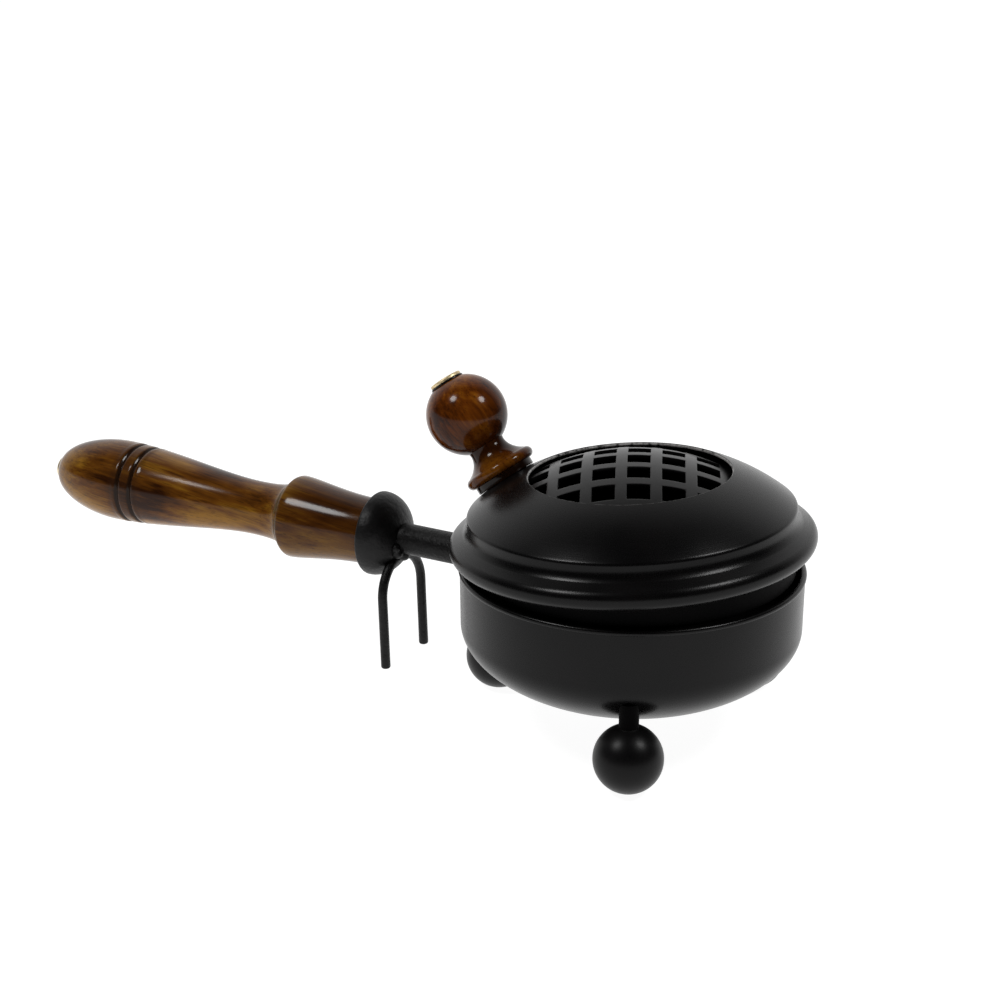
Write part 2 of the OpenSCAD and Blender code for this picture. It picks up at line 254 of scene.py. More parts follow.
def lathe(name, outline, place=None, steps=144, closed=False):
    """Draws an outline of (radius, height) points in millimetres and spins it about Z."""
    points = [(radius * MM, height * MM) for radius, height in outline]
    if closed:
        points.append(points[0])
    obj = start_point(name, (points[0][0], 0, points[0][1]))
    for here, there in zip(points, points[1:]):
        step = (there[0] - here[0], 0, there[1] - here[1])
        bpy.ops.mesh.extrude_vertices_move(TRANSFORM_OT_translate={"value": step})
    bpy.ops.mesh.select_all(action="SELECT")
    bpy.ops.mesh.spin(steps=steps, angle=math.tau, center=(0, 0, 0), axis=(0, 0, 1))
    bpy.ops.mesh.select_all(action="SELECT")
    bpy.ops.mesh.remove_doubles(threshold=2e-6)
    bpy.ops.mesh.select_all(action="SELECT")
    bpy.ops.mesh.normals_make_consistent(inside=False)
    bpy.ops.object.mode_set(mode="OBJECT")
    settle(obj, place or Matrix.Identity(4))
    smooth(obj)
    return obj


def lumps(name, balls, size):
    """Melts a few balls into one rough bead, as a weld is laid. Balls are (x, y, z, radius)."""
    parts = []
    for x, y, z, radius in balls:
        clear_selection()
        centre = (x * MM, y * MM, z * MM)
        bpy.ops.mesh.primitive_ico_sphere_add(subdivisions=4, radius=radius * MM, location=centre)
        parts.append(bpy.context.object)
    clear_selection()
    for part in parts:
        part.select_set(True)
    bpy.context.view_layer.objects.active = parts[0]
    bpy.ops.object.join()
    bpy.ops.object.transform_apply(location=True)
    obj = bpy.context.object
    obj.name = name
    obj.data.name = name
    use_modifier(obj, "REMESH", mode="VOXEL", voxel_size=size * MM)
    use_modifier(obj, "SMOOTH", factor=0.6, iterations=6)
    roughen(obj, 0.35, 2.2)
    smooth(obj, 60)
    return obj


def roughen(obj, depth, size):
    """Moves a surface in and out over cloudy patches. Depth and patch size are in millimetres."""
    clouds = bpy.data.textures.new(obj.name + "_clouds", "CLOUDS")
    clouds.noise_scale = size * MM
    use_modifier(obj, "DISPLACE", texture=clouds, texture_coords="GLOBAL", strength=depth * MM, mid_level=0.5)


def hand_over(obj, body, slot, *nodes):
    """Makes a finished piece ride on its body in place of its CAD nodes."""
    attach(obj, body)
    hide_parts(*nodes)


def on_handle():
    """Turns Z into the direction that runs from the bowl to the handle's tip."""
    return Matrix.Translation((0, 0, HANDLE_Z * MM)) @ Matrix.Rotation(-math.pi / 2, 4, "Y")


def on_lid():
    """Carries a shut lid's piece to where the lid rests, a little open."""
    turn = Matrix.Rotation(-LID_AJAR, 4, "Y")
    on_rim = Matrix.Translation((LID_FORWARD * MM, 0, RIM_Z * MM))
    return Matrix.Translation(PIN) @ turn @ Matrix.Translation(-PIN) @ on_rim


def knob_tilt():
    """How far the knob leans back on the lid's dome."""
    return math.asin((KNOB_AT_R - DOME_CENTRE[0]) / DOME_R)


def on_knob():
    """Puts Z along the knob's axis, from its foot on the lid."""
    foot = Matrix.Translation((-KNOB_AT_R * MM, 0, dome_height(KNOB_AT_R) * MM))
    lift = Matrix.Translation((0, 0, KNOB_LIFT * MM))
    return on_lid() @ foot @ Matrix.Rotation(-knob_tilt(), 4, "Y") @ lift


# ---------------------------------------------------------------- shader maths


class Value:
    """A socket in a finish, with arithmetic that adds the Math nodes."""

    def __init__(self, finish, socket):
        self.finish = finish
        self.socket = socket

    def maths(self, operation, *others):
        values = {i: v for i, v in enumerate((self, *others))}
        return self.finish.node("ShaderNodeMath", {"operation": operation}, values)

    def __add__(self, other):
        return self.maths("ADD", other)

    def __radd__(self, other):
        return self.maths("ADD", other)

    def __sub__(self, other):
        return self.maths("SUBTRACT", other)

    def __rsub__(self, other):
        return self.finish.node("ShaderNodeMath", {"operation": "SUBTRACT"}, {0: other, 1: self})

    def __mul__(self, other):
        return self.maths("MULTIPLY", other)

    def __rmul__(self, other):
        return self.maths("MULTIPLY", other)

    def __abs__(self):
        return self.maths("ABSOLUTE")


class Finish:
    """One material. node() adds any node; the other methods are the steps that repeat."""

    def __init__(self, name, **constants):
        self.material = bpy.data.materials.new(name)
        self.material.use_nodes = True
        self.tree = self.material.node_tree
        self.shader = self.tree.nodes["Principled BSDF"]
        for key, value in constants.items():
            self.shader.inputs[key.replace("_", " ")].default_value = value
        self.place = self.node("ShaderNodeTexCoord", output="Object")

    def node(self, kind, settings=None, values=None, output=0):
        made = self.tree.nodes.new(kind)
        for key, value in (settings or {}).items():
            if key == "stops":
                ramp = made.color_ramp.elements
                while len(ramp) < len(value):
                    ramp.new(0.5)
                for element, (position, colour) in zip(ramp, value):
                    element.position = position
                    element.color = (*colour, 1) if len(colour) == 3 else colour
            else:
                setattr(made, key, value)
        for key, value in (values or {}).items():
            if isinstance(value, Value):
                self.tree.links.new(value.socket, made.inputs[key])
            else:
                made.inputs[key].default_value = value
        return Value(self, made.outputs[output])

    def feed(self, **links):
        for key, value in links.items():
            self.tree.links.new(value.socket, self.shader.inputs[key.replace("_", " ")])

    def axes(self, place=None):
        split = self.node("ShaderNodeSeparateXYZ", values={0: place or self.place})
        outputs = split.socket.node.outputs
        return [Value(self, outputs[i]) for i in range(3)]

    def vector(self, x, y, z):
        return self.node("ShaderNodeCombineXYZ", values={0: x, 1: y, 2: z})

    def turned_to(self, matrix, stretch=(1, 1, 1)):
        """Object coordinates seen from a turned and moved frame, then stretched."""
        back = matrix.inverted()
        spot = self.node("ShaderNodeMapping", {"vector_type": "POINT"}, {
            "Vector": self.place, "Location": back.to_translation(), "Rotation": back.to_euler()})
        return self.node("ShaderNodeVectorMath", {"operation": "MULTIPLY"}, {0: spot, 1: stretch})

    def noise(self, place, scale, detail=3.0, roughness=0.55):
        return self.node("ShaderNodeTexNoise", values={
            "Vector": place, "Scale": scale, "Detail": detail, "Roughness": roughness})

    def remap(self, value, low, high, to_low=0.0, to_high=1.0):
        return self.node("ShaderNodeMapRange", {"interpolation_type": "SMOOTHSTEP", "clamp": True}, {
            "Value": value, "From Min": low, "From Max": high, "To Min": to_low, "To Max": to_high})

    def blend(self, factor, first, second, blend_type="MIX"):
        first = (*first, 1) if isinstance(first, tuple) else first
        second = (*second, 1) if isinstance(second, tuple) else second
        return self.node("ShaderNodeMix", {"data_type": "RGBA", "blend_type": blend_type}, {
            0: factor, 6: first, 7: second}, output=2)

    def bump(self, height, depth, strength=1.0, after=None):
        values = {"Height": height, "Distance": depth, "Strength": strength}
        if after is not None:
            values["Normal"] = after
        return self.node("ShaderNodeBump", values=values)


# Tones that stay as they are when the settings change
DUSTY_PAINT = (0.0026, 0.0023, 0.0024)
BARE_STEEL = (0.42, 0.41, 0.40)
ZINC = (0.50, 0.50, 0.52)
OPEN_PORES = (0.012, 0.0045, 0.0015)
BURNT_WOOD = (0.006, 0.0032, 0.0018)
# Painted shade: darkens the wood around and between the grip's two grooves
GROOVE_PAINTED_SHADE = (0.03, 0.012, 0.005)
FRONT_STAIN = (0.028, 0.0075, 0.0016)
WORN_VARNISH = (0.10, 0.085, 0.050)
KNOB_TINT = (1.0, 0.72, 0.50)
# Painted shade: darkens the knob under its ball and in its neck below the ball
KNOB_PAINTED_SHADE = (0.014, 0.0035, 0.0010)
# Painted shade: darkens the knob's plinth under the torus so it reads as a shadow
PLINTH_PAINTED_SHADE = (0.005, 0.0018, 0.0008)


def tuple_of(colour):
    return tuple(colour[:3])


def black_paint(name, lathe_frame=None, rough=0.22, grain=0.05, bare_edge=None, shine=0.16, lumpy=0.0):
    """Satin black paint. A lathe frame adds fine rings round its Z, bare_edge is the worn radius,
    and lumpy is the height of the runs and blobs left by a brush."""
    finishes = bpy.context.scene.pan_finishes
    finish = Finish(name, IOR=1.5, Specular_IOR_Level=shine)
    speckle = finish.noise(finish.place, 2600, 4)
    cloud = finish.noise(finish.place, 45, 3)
    colour = finish.blend(finish.remap(cloud, 0.3, 0.7), tuple_of(finishes.paint), DUSTY_PAINT)
    roughness = rough - 0.04 + 0.08 * cloud + 0.06 * speckle
    normal = finish.bump(speckle, grain * MM, 0.22)
    if lumpy:
        normal = finish.bump(finish.noise(finish.place, 520, 4, 0.65), lumpy * MM, 0.7, after=normal)
    if lathe_frame is not None:
        x, y, z = finish.axes(finish.turned_to(lathe_frame))
        radius = finish.node("ShaderNodeMath", {"operation": "SQRT"}, {0: x * x + y * y})
        angle = finish.node("ShaderNodeMath", {"operation": "ARCTAN2"}, {0: y, 1: x})
        rings = finish.noise(finish.vector(radius * 2400, z * 2400, angle * 3), 1.0, 3)
        normal = finish.bump(rings, 0.02 * MM, 0.25, after=normal)
        roughness = roughness + 0.05 * rings
        if bare_edge is not None:
            worn = finish.remap(radius, bare_edge * MM, (bare_edge + 0.55) * MM, 1.0, 0.0)
            worn = worn * finish.remap(finish.noise(finish.place, 700, 3), 0.3, 0.6)
            colour = finish.blend(worn, colour, BARE_STEEL)
            roughness = roughness + 0.1 * worn
    finish.feed(Base_Color=colour, Roughness=roughness, Normal=normal)
    return finish.material


def varnished_wood(name, grain_frame, extra=None):
    """Dark stained wood under gloss varnish. Z of the grain frame runs along the grain."""
    colours = bpy.context.scene.pan_finishes
    finish = Finish(name, Coat_Roughness=0.14, Coat_IOR=1.28, Specular_IOR_Level=0.0)
    patches = finish.noise(finish.turned_to(grain_frame, (1, 1, 0.45)), 62, 3, 0.5)
    streaks = finish.noise(finish.turned_to(grain_frame, (1, 1, 0.07)), 620, 4, 0.65)
    fibres = finish.noise(finish.turned_to(grain_frame, (1, 1, 0.03)), 2600, 3, 0.6)
    tone = patches * 0.70 + streaks * 0.30
    colour = finish.node("ShaderNodeValToRGB", {"stops": [
        (0.40, tuple_of(colours.wood_dark)), (0.50, tuple_of(colours.wood_mid)),
        (0.61, tuple_of(colours.wood_amber))]}, {0: tone})
    pores = finish.remap(fibres, 0.34, 0.46, 1.0, 0.0)
    colour = finish.blend(pores * 0.55, colour, OPEN_PORES)
    roughness = 0.42 + 0.12 * streaks
    coat = finish.remap(patches, 0.2, 0.8, 0.85, 1.0)
    if extra is not None:
        colour, roughness, coat = extra(finish, colour, roughness, coat)
    normal = finish.bump(finish.noise(finish.place, 210, 2), 0.10 * MM, 0.30)
    normal = finish.bump(finish.noise(finish.place, 1500, 2), 0.06 * MM, 0.45, after=normal)
    normal = finish.bump(fibres, 0.02 * MM, 0.30, after=normal)
    finish.feed(Base_Color=colour, Roughness=roughness, Coat_Weight=coat, Normal=normal)
    return finish.material


def grip_marks(finish, colour, roughness, coat):
    """The grip's burnt grooves with painted shade around them, its worn collar and its darker front end."""
    along = finish.axes()[0] * -1000
    wander = (finish.noise(finish.place, 500, 3) - 0.5) * 0.6
    burnt = None
    for groove in GROOVES:
        line = finish.remap(abs(along + wander - groove), 0.55, 1.05, 1.0, 0.0)
        burnt = line if burnt is None else burnt + line
    colour = finish.blend(burnt, colour, BURNT_WOOD)
    # Painted shade around and between the two grooves
    between_grooves = 175.2
    shade = finish.remap(abs(along - between_grooves), 4.0, 6.5, 0.45, 0.0)
    colour = finish.blend(shade, colour, GROOVE_PAINTED_SHADE)
    front = finish.remap(along, 112.0, 122.0, 0.50, 0.0)
    colour = finish.blend(front, colour, FRONT_STAIN)
    worn = finish.remap(abs(along + wander * 1.5 - (COLLAR + 2.0)), 0.7, 2.1, 1.0, 0.0)
    worn = worn * finish.remap(finish.noise(finish.place, 260, 4), 0.34, 0.6)
    colour = finish.blend(worn * 0.7, colour, WORN_VARNISH)
    roughness = roughness + 0.15 * worn
    return colour, roughness, coat * (1.0 - 0.5 * worn)


def brushed_metal(name, colour, rough=0.3):
    """Turned metal with a faint tarnish."""
    finish = Finish(name, Metallic=1.0)
    cloud = finish.noise(finish.place, 420, 4)
    tint = tuple(c * 0.62 for c in colour)
    finish.feed(
        Base_Color=finish.blend(finish.remap(cloud, 0.35, 0.7), colour, tint),
        Roughness=rough + 0.2 * cloud,
        Normal=finish.bump(finish.noise(finish.place, 5200, 2), 0.02 * MM, 0.3))
    return finish.material


def paint_over(obj, material):
    """Gives an object one material in all its slots."""
    obj.data.materials.clear()
    obj.data.materials.append(material)


# ---------------------------------------------------------------- the stage

CAMERA_PLACE = Vector((0.2909, -0.5835, 0.3042))
CAMERA_LOOK = Vector((-0.468, 0.816, -0.340)).normalized()
CAMERA_LENS = 87.5
REAR = Vector((-0.4975, 0.8675, 0))
SOFT_BOX_SIZE = 0.26
SOFT_BOX_POWER = 3.6
SOFT_BOX_TARGET = Vector((-0.03, 0, 0.03))


class PAN_OT_stage(bpy.types.Operator):
    """Makes the camera, the pale floor, the soft boxes and the surrounding light"""

    bl_idname = "pan.stage"
    bl_label = "Stage"

    def execute(self, context):
        self.camera(context)
        self.floor()
        self.soft_boxes()
        self.surroundings(context)
        context.scene.view_settings.view_transform = "Standard"
        return {"FINISHED"}

    def camera(self, context):
        lens = bpy.data.cameras.new("camera")
        lens.lens = CAMERA_LENS
        lens.sensor_width = 36
        lens.clip_start = 0.01
        camera = bpy.data.objects.new("camera", lens)
        context.scene.collection.objects.link(camera)
        camera.location = CAMERA_PLACE
        camera.rotation_euler = CAMERA_LOOK.to_track_quat("-Z", "Y").to_euler()
        context.scene.camera = camera

    def floor(self):
        clear_selection()
        bpy.ops.mesh.primitive_circle_add(vertices=96, radius=40, fill_type="NGON")
        floor = bpy.context.object
        floor.name = "floor"
        finish = Finish("pale_floor", Base_Color=(0.25, 0.25, 0.25, 1), Roughness=0.9,
                        Emission_Color=(1, 1, 1, 1), Emission_Strength=0.95)
        paint_over(floor, finish.material)

    def soft_boxes(self):
        right = CAMERA_LOOK.cross(Vector((0, 0, 1))).normalized()
        up = right.cross(CAMERA_LOOK)
        for name, side in (("soft_box_left", -0.78), ("soft_box_right", 0.82)):
            away = (right * (0.65 * side) + up * 0.61 - CAMERA_LOOK * 0.45).normalized()
            lamp = bpy.data.lights.new(name, "AREA")
            lamp.shape = "DISK"
            lamp.size = SOFT_BOX_SIZE
            lamp.energy = SOFT_BOX_POWER
            box = bpy.data.objects.new(name, lamp)
            bpy.context.scene.collection.objects.link(box)
            box.location = SOFT_BOX_TARGET + away
            box.rotation_euler = (-away).to_track_quat("-Z", "Y").to_euler()

    def surroundings(self, context):
        world = bpy.data.worlds.new("studio")
        world.use_nodes = True
        context.scene.world = world
        tree = world.node_tree
        tree.nodes.clear()
        add = tree.nodes.new
        place = add("ShaderNodeTexCoord")
        rearward = add("ShaderNodeVectorMath")
        rearward.operation = "DOT_PRODUCT"
        rearward.inputs[1].default_value = REAR
        tree.links.new(place.outputs["Generated"], rearward.inputs[0])
        glow = add("ShaderNodeMapRange")
        glow.interpolation_type = "SMOOTHSTEP"
        for key, value in (("From Min", 0.10), ("From Max", 0.75), ("To Min", 0.02), ("To Max", 1.0)):
            glow.inputs[key].default_value = value
        tree.links.new(rearward.outputs["Value"], glow.inputs["Value"])
        light = add("ShaderNodeBackground")
        tree.links.new(glow.outputs[0], light.inputs["Color"])
        light.inputs["Strength"].default_value = 1.0
        seen = add("ShaderNodeBackground")
        seen.inputs["Color"].default_value = (1, 1, 1, 1)
        ray = add("ShaderNodeLightPath")
        mix = add("ShaderNodeMixShader")
        tree.links.new(ray.outputs["Is Camera Ray"], mix.inputs[0])
        tree.links.new(light.outputs[0], mix.inputs[1])
        tree.links.new(seen.outputs[0], mix.inputs[2])
        out = add("ShaderNodeOutputWorld")
        tree.links.new(mix.outputs[0], out.inputs[0])


# ---------------------------------------------------------------- the pan


class PAN_OT_bowl(bpy.types.Operator):
    """Spins the bowl, from its flat floor up to its rolled rim"""

    bl_idname = "pan.bowl"
    bl_label = "Bowl"

    def execute(self, context):
        wall = context.scene.pan_sizes.bowl_wall / MM
        outside = self.skin(0)
        inside = self.skin(wall)
        rim = arc((RIM_R - 0.9, RIM_Z - 0.9), 0.9, -56, 90, 10)
        rim += arc((RIM_R - 0.6 - wall + 0.7, RIM_Z - 0.7), 0.7, 100, 180, 6)
        outline = [(0, outside[0][1])] + outside + rim + inside[::-1] + [(0, inside[0][1])]
        bowl = lathe("bowl_shell", outline, steps=192)
        paint_over(bowl, black_paint("bowl_paint", Matrix.Identity(4)))
        hand_over(bowl, "pan", "black_steel", "bowl")
        return {"FINISHED"}

    def skin(self, inset):
        """The bowl's elliptical side, set in from the outside, from the floor to the upright wall."""
        axis_r, reach, drop, top = -15.0, RIM_R - 0.6 + 15.0, 24.6, RIM_Z - 17.2
        start = math.asin((24 - axis_r) / reach)
        points = []
        for i in range(33):
            t = start + (math.pi / 2 - start) * i / 32
            points.append((axis_r + (reach - inset) * math.sin(t), top - (drop - inset) * math.cos(t)))
        floor_z = points[0][1]
        return [(points[0][0] - 1.5, floor_z)] + points


class PAN_OT_feet(bpy.types.Operator):
    """Turns one ball foot with its seat for the stud, and copies it to the three places"""

    bl_idname = "pan.feet"
    bl_label = "Ball feet"

    def execute(self, context):
        radius = context.scene.pan_sizes.ball_radius / MM
        seat = 2.9
        top = math.degrees(math.acos(seat / radius))
        outline = arc((0, radius), radius, -90, top, 48)
        height = outline[-1][1]
        outline += [(seat - 0.15, height + 0.12), (2.1, height + 0.12), (2.1, height - 6), (0, height - 6)]
        outline[0] = (0, 0)
        finish = black_paint("foot_paint", rough=0.33)
        pattern = lathe("ball_foot_rear", outline, steps=96)
        for name in ("rear", "left", "right"):
            low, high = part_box("foot_ball_" + name)
            centre = (low + high) / 2
            foot = pattern.copy()
            foot.data = pattern.data.copy()
            foot.name = "ball_foot_" + name
            context.scene.collection.objects.link(foot)
            settle(foot, Matrix.Translation((centre.x, centre.y, 0)))
            paint_over(foot, finish)
            hand_over(foot, "pan", "black_steel", "foot_ball_" + name)
        bpy.data.objects.remove(pattern)
        stud_finish = black_paint("stud_paint", rough=0.6, shine=0.02)
        for name in ("rear", "left", "right"):
            paint_over(frame["nodes"]["foot_stud_" + name], stud_finish)
        return {"FINISHED"}


class PAN_OT_rod(bpy.types.Operator):
    """Turns the rod with its tang, and lays the weld where it meets the bowl"""

    bl_idname = "pan.rod"
    bl_label = "Rod and weld"

    def execute(self, context):
        radius = context.scene.handle_sizes.rod_radius / MM
        round_r = 0.4
        step = GRIP_FRONT - round_r
        end = TIP_S - 1.4
        outline = swapped([(ROD_START, 0), (ROD_START, radius), (step, radius)]
                          + arc((step, radius - round_r), round_r, 90, 0, 4)
                          + [(GRIP_FRONT, TANG_R), (end, TANG_R)]
                          + arc((end, TANG_R - round_r), round_r, 90, 0, 4) + [(TIP_S - 1, 0)])
        rod = lathe("rod_and_tang", outline, on_handle(), steps=64)
        finish = black_paint("rod_paint", rough=0.40, grain=0.10, shine=0.18, lumpy=0.55)
        paint_over(rod, finish)
        hand_over(rod, "pan", "black_steel", "handle_rod")
        bead = swapped([(48.9, radius - 0.6), (48.9, radius + 1.5)]
                       + curve((49.4, radius + 1.45), (50.2, radius + 1.1),
                               (51, radius + 0.3), (52.9, radius + 0.05), 8)
                       + [(52.9, radius - 0.6)])
        weld = lathe("rod_weld_bead", bead, on_handle(), steps=96, closed=True)
        use_modifier(weld, "SUBSURF", levels=1, render_levels=1)
        roughen(weld, 0.5, 2.6)
        smooth(weld, 60)
        paint_over(weld, finish)
        hand_over(weld, "pan", "black_steel", "rod_weld")
        return {"FINISHED"}


class PAN_OT_ferrule(bpy.types.Operator):
    """Spins the domed cup that covers the front of the grip"""

    bl_idname = "pan.ferrule"
    bl_label = "Ferrule cup"

    wall = 1.3
    depth = 9.8
    rod = 4.7

    def execute(self, context):
        wide = context.scene.handle_sizes.ferrule_radius / MM
        outline = swapped(self.dome(wide, 0)[::-1]
                          + arc((FERRULE_MOUTH + 0.2, wide - self.wall / 2), self.wall / 2, 90, -90, 8)
                          + self.dome(wide, self.wall))
        cup = lathe("ferrule_dome", outline, on_handle(), steps=128, closed=True)
        finish = black_paint("ferrule_paint", on_handle(), rough=0.36, grain=0.08, shine=0.24, lumpy=0.35)
        paint_over(cup, finish)
        hand_over(cup, "pan", "black_steel", "ferrule_cup")
        return {"FINISHED"}

    def dome(self, wide, inset):
        """Points down the cup's dome, from its mouth to the rod, set in from the outside."""
        steps = 28
        end = math.acos(self.rod / (wide - inset))
        turns = [end * i / steps for i in range(steps + 1)]
        return [(FERRULE_MOUTH - (self.depth - inset) * math.sin(t), (wide - inset) * math.cos(t))
                for t in turns]


class PAN_OT_grip(bpy.types.Operator):
    """Turns the wooden grip, with its collar, its waist and its two grooves"""

    bl_idname = "pan.grip"
    bl_label = "Grip"

    def execute(self, context):
        bore_r = TANG_R + 0.1
        front = [(GRIP_FRONT, bore_r), (GRIP_FRONT, 7.2), (82.5, 10.1)]
        throat = curve((90, 10.2), (100, 10.4), (108, 12.1), (113.6, 12.7), 12)
        collar = arc((COLLAR, 10.9), 1.95, 85, 5, 8)
        collar += curve((117.9, 11.0), (118.6, 10.8), (118.5, 10.3), (119, 10.0), 5)
        waist = curve((119.6, 9.7), (122, 8.7), (126, 8.4), (131, 8.4), 12)
        belly = self.grooved(curve((132, 8.4), (146, 8.5), (166, 12.7), (183, 12.85), 60))
        nose = curve((184, 12.85), (194.5, 12.85), (TIP_S - 1.6, 9), (TIP_S, 4.2), 24)
        bore = [(TIP_S, 3.7), (TIP_S - 6, 3.7), (TIP_S - 6, bore_r)]
        outline = swapped(front + throat + collar + waist + belly + nose + bore)
        grip = lathe("turned_grip", outline, on_handle(), steps=144, closed=True)
        grain = Matrix.Rotation(math.radians(7), 4, "Y") @ on_handle()
        paint_over(grip, varnished_wood("grip_varnish", grain, grip_marks))
        hand_over(grip, "pan", "turned_wood", "handle_grip")
        return {"FINISHED"}

    def grooved(self, points):
        """Cuts the two round-bottomed grooves into the swelling part of the outline."""
        low, high = GROOVES[0] - 1.6, GROOVES[1] + 1.6
        fine = [p for p in points if p[0] < low]
        after = [p for p in points if p[0] > high]
        before = fine[-1]
        steps = 44
        for i in range(1, steps):
            along = before[0] + (after[0][0] - before[0]) * i / steps
            radius = before[1] + (after[0][1] - before[1]) * i / steps
            cut = sum(math.exp(-(((along - groove) / 0.62) ** 2)) for groove in GROOVES)
            fine.append((along, radius + 0.05 - 0.80 * cut))
        return fine + after


class PAN_OT_handle_end(bpy.types.Operator):
    """Turns the capped nut and the washer at the handle's tip"""

    bl_idname = "pan.handle_end"
    bl_label = "Handle end"

    def execute(self, context):
        washer_s = TIP_S + 0.4
        nut = swapped([(TIP_S - 5.5, 0), (TIP_S - 5.5, NUT_SHANK_R),
                       (washer_s, NUT_SHANK_R), (washer_s, NUT_HEAD_R)]
                      + arc((TIP_S + 0.9, 3.4), 0.5, 90, 20, 6)
                      + curve((TIP_S + 1.45, 2.9), (TIP_S + 1.6, 2), (TIP_S + 1.65, 1), (TIP_S + 1.65, 0), 6))
        cap = lathe("capped_nut", nut, on_handle(), steps=72)
        paint_over(cap, brushed_metal("end_brass", tuple_of(context.scene.pan_finishes.brass)))
        hand_over(cap, "pan", "brass", "end_nut")
        ring = swapped([(TIP_S, NUT_SHANK_R), (TIP_S, 4.0), (TIP_S + 0.1, 4.1), (TIP_S + 0.3, 4.1),
                        (washer_s, 4.0), (washer_s, NUT_SHANK_R)])
        washer = lathe("tip_washer", ring, on_handle(), steps=72, closed=True)
        paint_over(washer, black_paint("tip_washer_paint"))
        hand_over(washer, "pan", "plain_steel", "end_washer")
        return {"FINISHED"}


class PAN_OT_fork(bpy.types.Operator):
    """Bends the rest fork from one wire, and lays the weld that holds it under the rod"""

    bl_idname = "pan.fork"
    bl_label = "Rest fork"

    half = 11.0
    lean = 2.0
    station = 78.7
    blunt = 0.45

    def execute(self, context):
        sizes = context.scene.handle_sizes
        wire = sizes.wire_radius / MM
        top = HANDLE_Z - sizes.rod_radius / MM - wire + 0.4
        leg = top - self.half - FORK_LOW.z / MM
        lean = Matrix.Rotation(-math.radians(self.lean), 4, "Y")
        crown = Matrix.Translation((-self.station * MM, 0, top * MM))
        place = crown @ lean @ Matrix.Translation((0, 0, -self.half * MM))
        fork = self.bend(wire, leg)
        settle(fork, place)
        smooth(fork, 50)
        finish = black_paint("fork_paint", rough=0.40, grain=0.10, shine=0.24, lumpy=0.45)
        paint_over(fork, finish)
        hand_over(fork, "pan", "black_steel", "rest_fork")
        x, z = -self.station, top + 0.6
        balls = [(x - 1.2, -2.6, z + 0.2, 2.3), (x - 0.6, 1.4, z - 0.3, 2.3), (x + 1.3, -0.6, z + 0.3, 2.3),
                 (x - 1.0, -0.4, z + 1.0, 2.3), (x + 1.4, -3.9, z + 1.5, 1.8), (x + 1.5, -4.9, z + 3.4, 1.4)]
        weld = lumps("fork_weld_bead", balls, 0.28)
        paint_over(weld, finish)
        hand_over(weld, "pan", "black_steel", "fork_weld")
        return {"FINISHED"}

    def bend(self, wire, leg):
        """A round wire: up one leg, over a half turn and down the other leg, with rounded ends."""
        clear_selection()
        ends = 4
        straight = leg - self.blunt * wire
        bpy.ops.mesh.primitive_circle_add(vertices=32, radius=wire * MM * (1 - self.blunt), fill_type="NGON",
                                          location=(0, self.half * MM, -leg * MM))
        fork = bpy.context.object
        fork.name = "bent_fork"
        fork.data.name = "bent_fork"
        bpy.ops.object.transform_apply(location=True)
        bpy.ops.object.mode_set(mode="EDIT")
        bpy.ops.mesh.select_all(action="SELECT")
        self.round_end(wire, 1, ends, growing=True)
        for _ in range(8):
            self.extrude(Vector((0, 0, straight * MM / 8)))
        bpy.ops.mesh.spin(steps=40, angle=math.pi, center=(0, 0, 0), axis=(-1, 0, 0))
        for _ in range(8):
            self.extrude(Vector((0, 0, -straight * MM / 8)))
        self.round_end(wire, -1, ends, growing=False)
        bpy.ops.mesh.select_all(action="SELECT")
        bpy.ops.mesh.remove_doubles(threshold=1e-6)
        bpy.ops.mesh.select_all(action="SELECT")
        bpy.ops.mesh.normals_make_consistent(inside=False)
        bpy.ops.object.mode_set(mode="OBJECT")
        return fork

    def extrude(self, step):
        bpy.ops.mesh.extrude_region_move(TRANSFORM_OT_translate={"value": step})

    def round_end(self, wire, direction, steps, growing):
        """Grows the wire's end from its small cap to its full width, or shrinks it again."""
        blunt = self.blunt
        turns = [math.pi / 2 * i / steps for i in range(steps + 1)]
        curve_up = [(blunt * wire * (1 - math.cos(t)), 1 - blunt + blunt * math.sin(t)) for t in turns]
        if not growing:
            curve_up = [(blunt * wire - a, b) for a, b in curve_up[::-1]]
        for (here, wide), (there, wider) in zip(curve_up, curve_up[1:]):
            self.extrude(Vector((0, 0, direction * (there - here) * MM)))
            ratio = wider / wide
            centre = self.centre_of_selected()
            bpy.ops.transform.resize(value=(ratio, ratio, 1), center_override=centre)

    def centre_of_selected(self):
        obj = bpy.context.object
        obj.update_from_editmode()
        chosen = [v.co for v in obj.data.vertices if v.select]
        return sum(chosen, Vector()) / len(chosen)


# ---------------------------------------------------------------- the lid


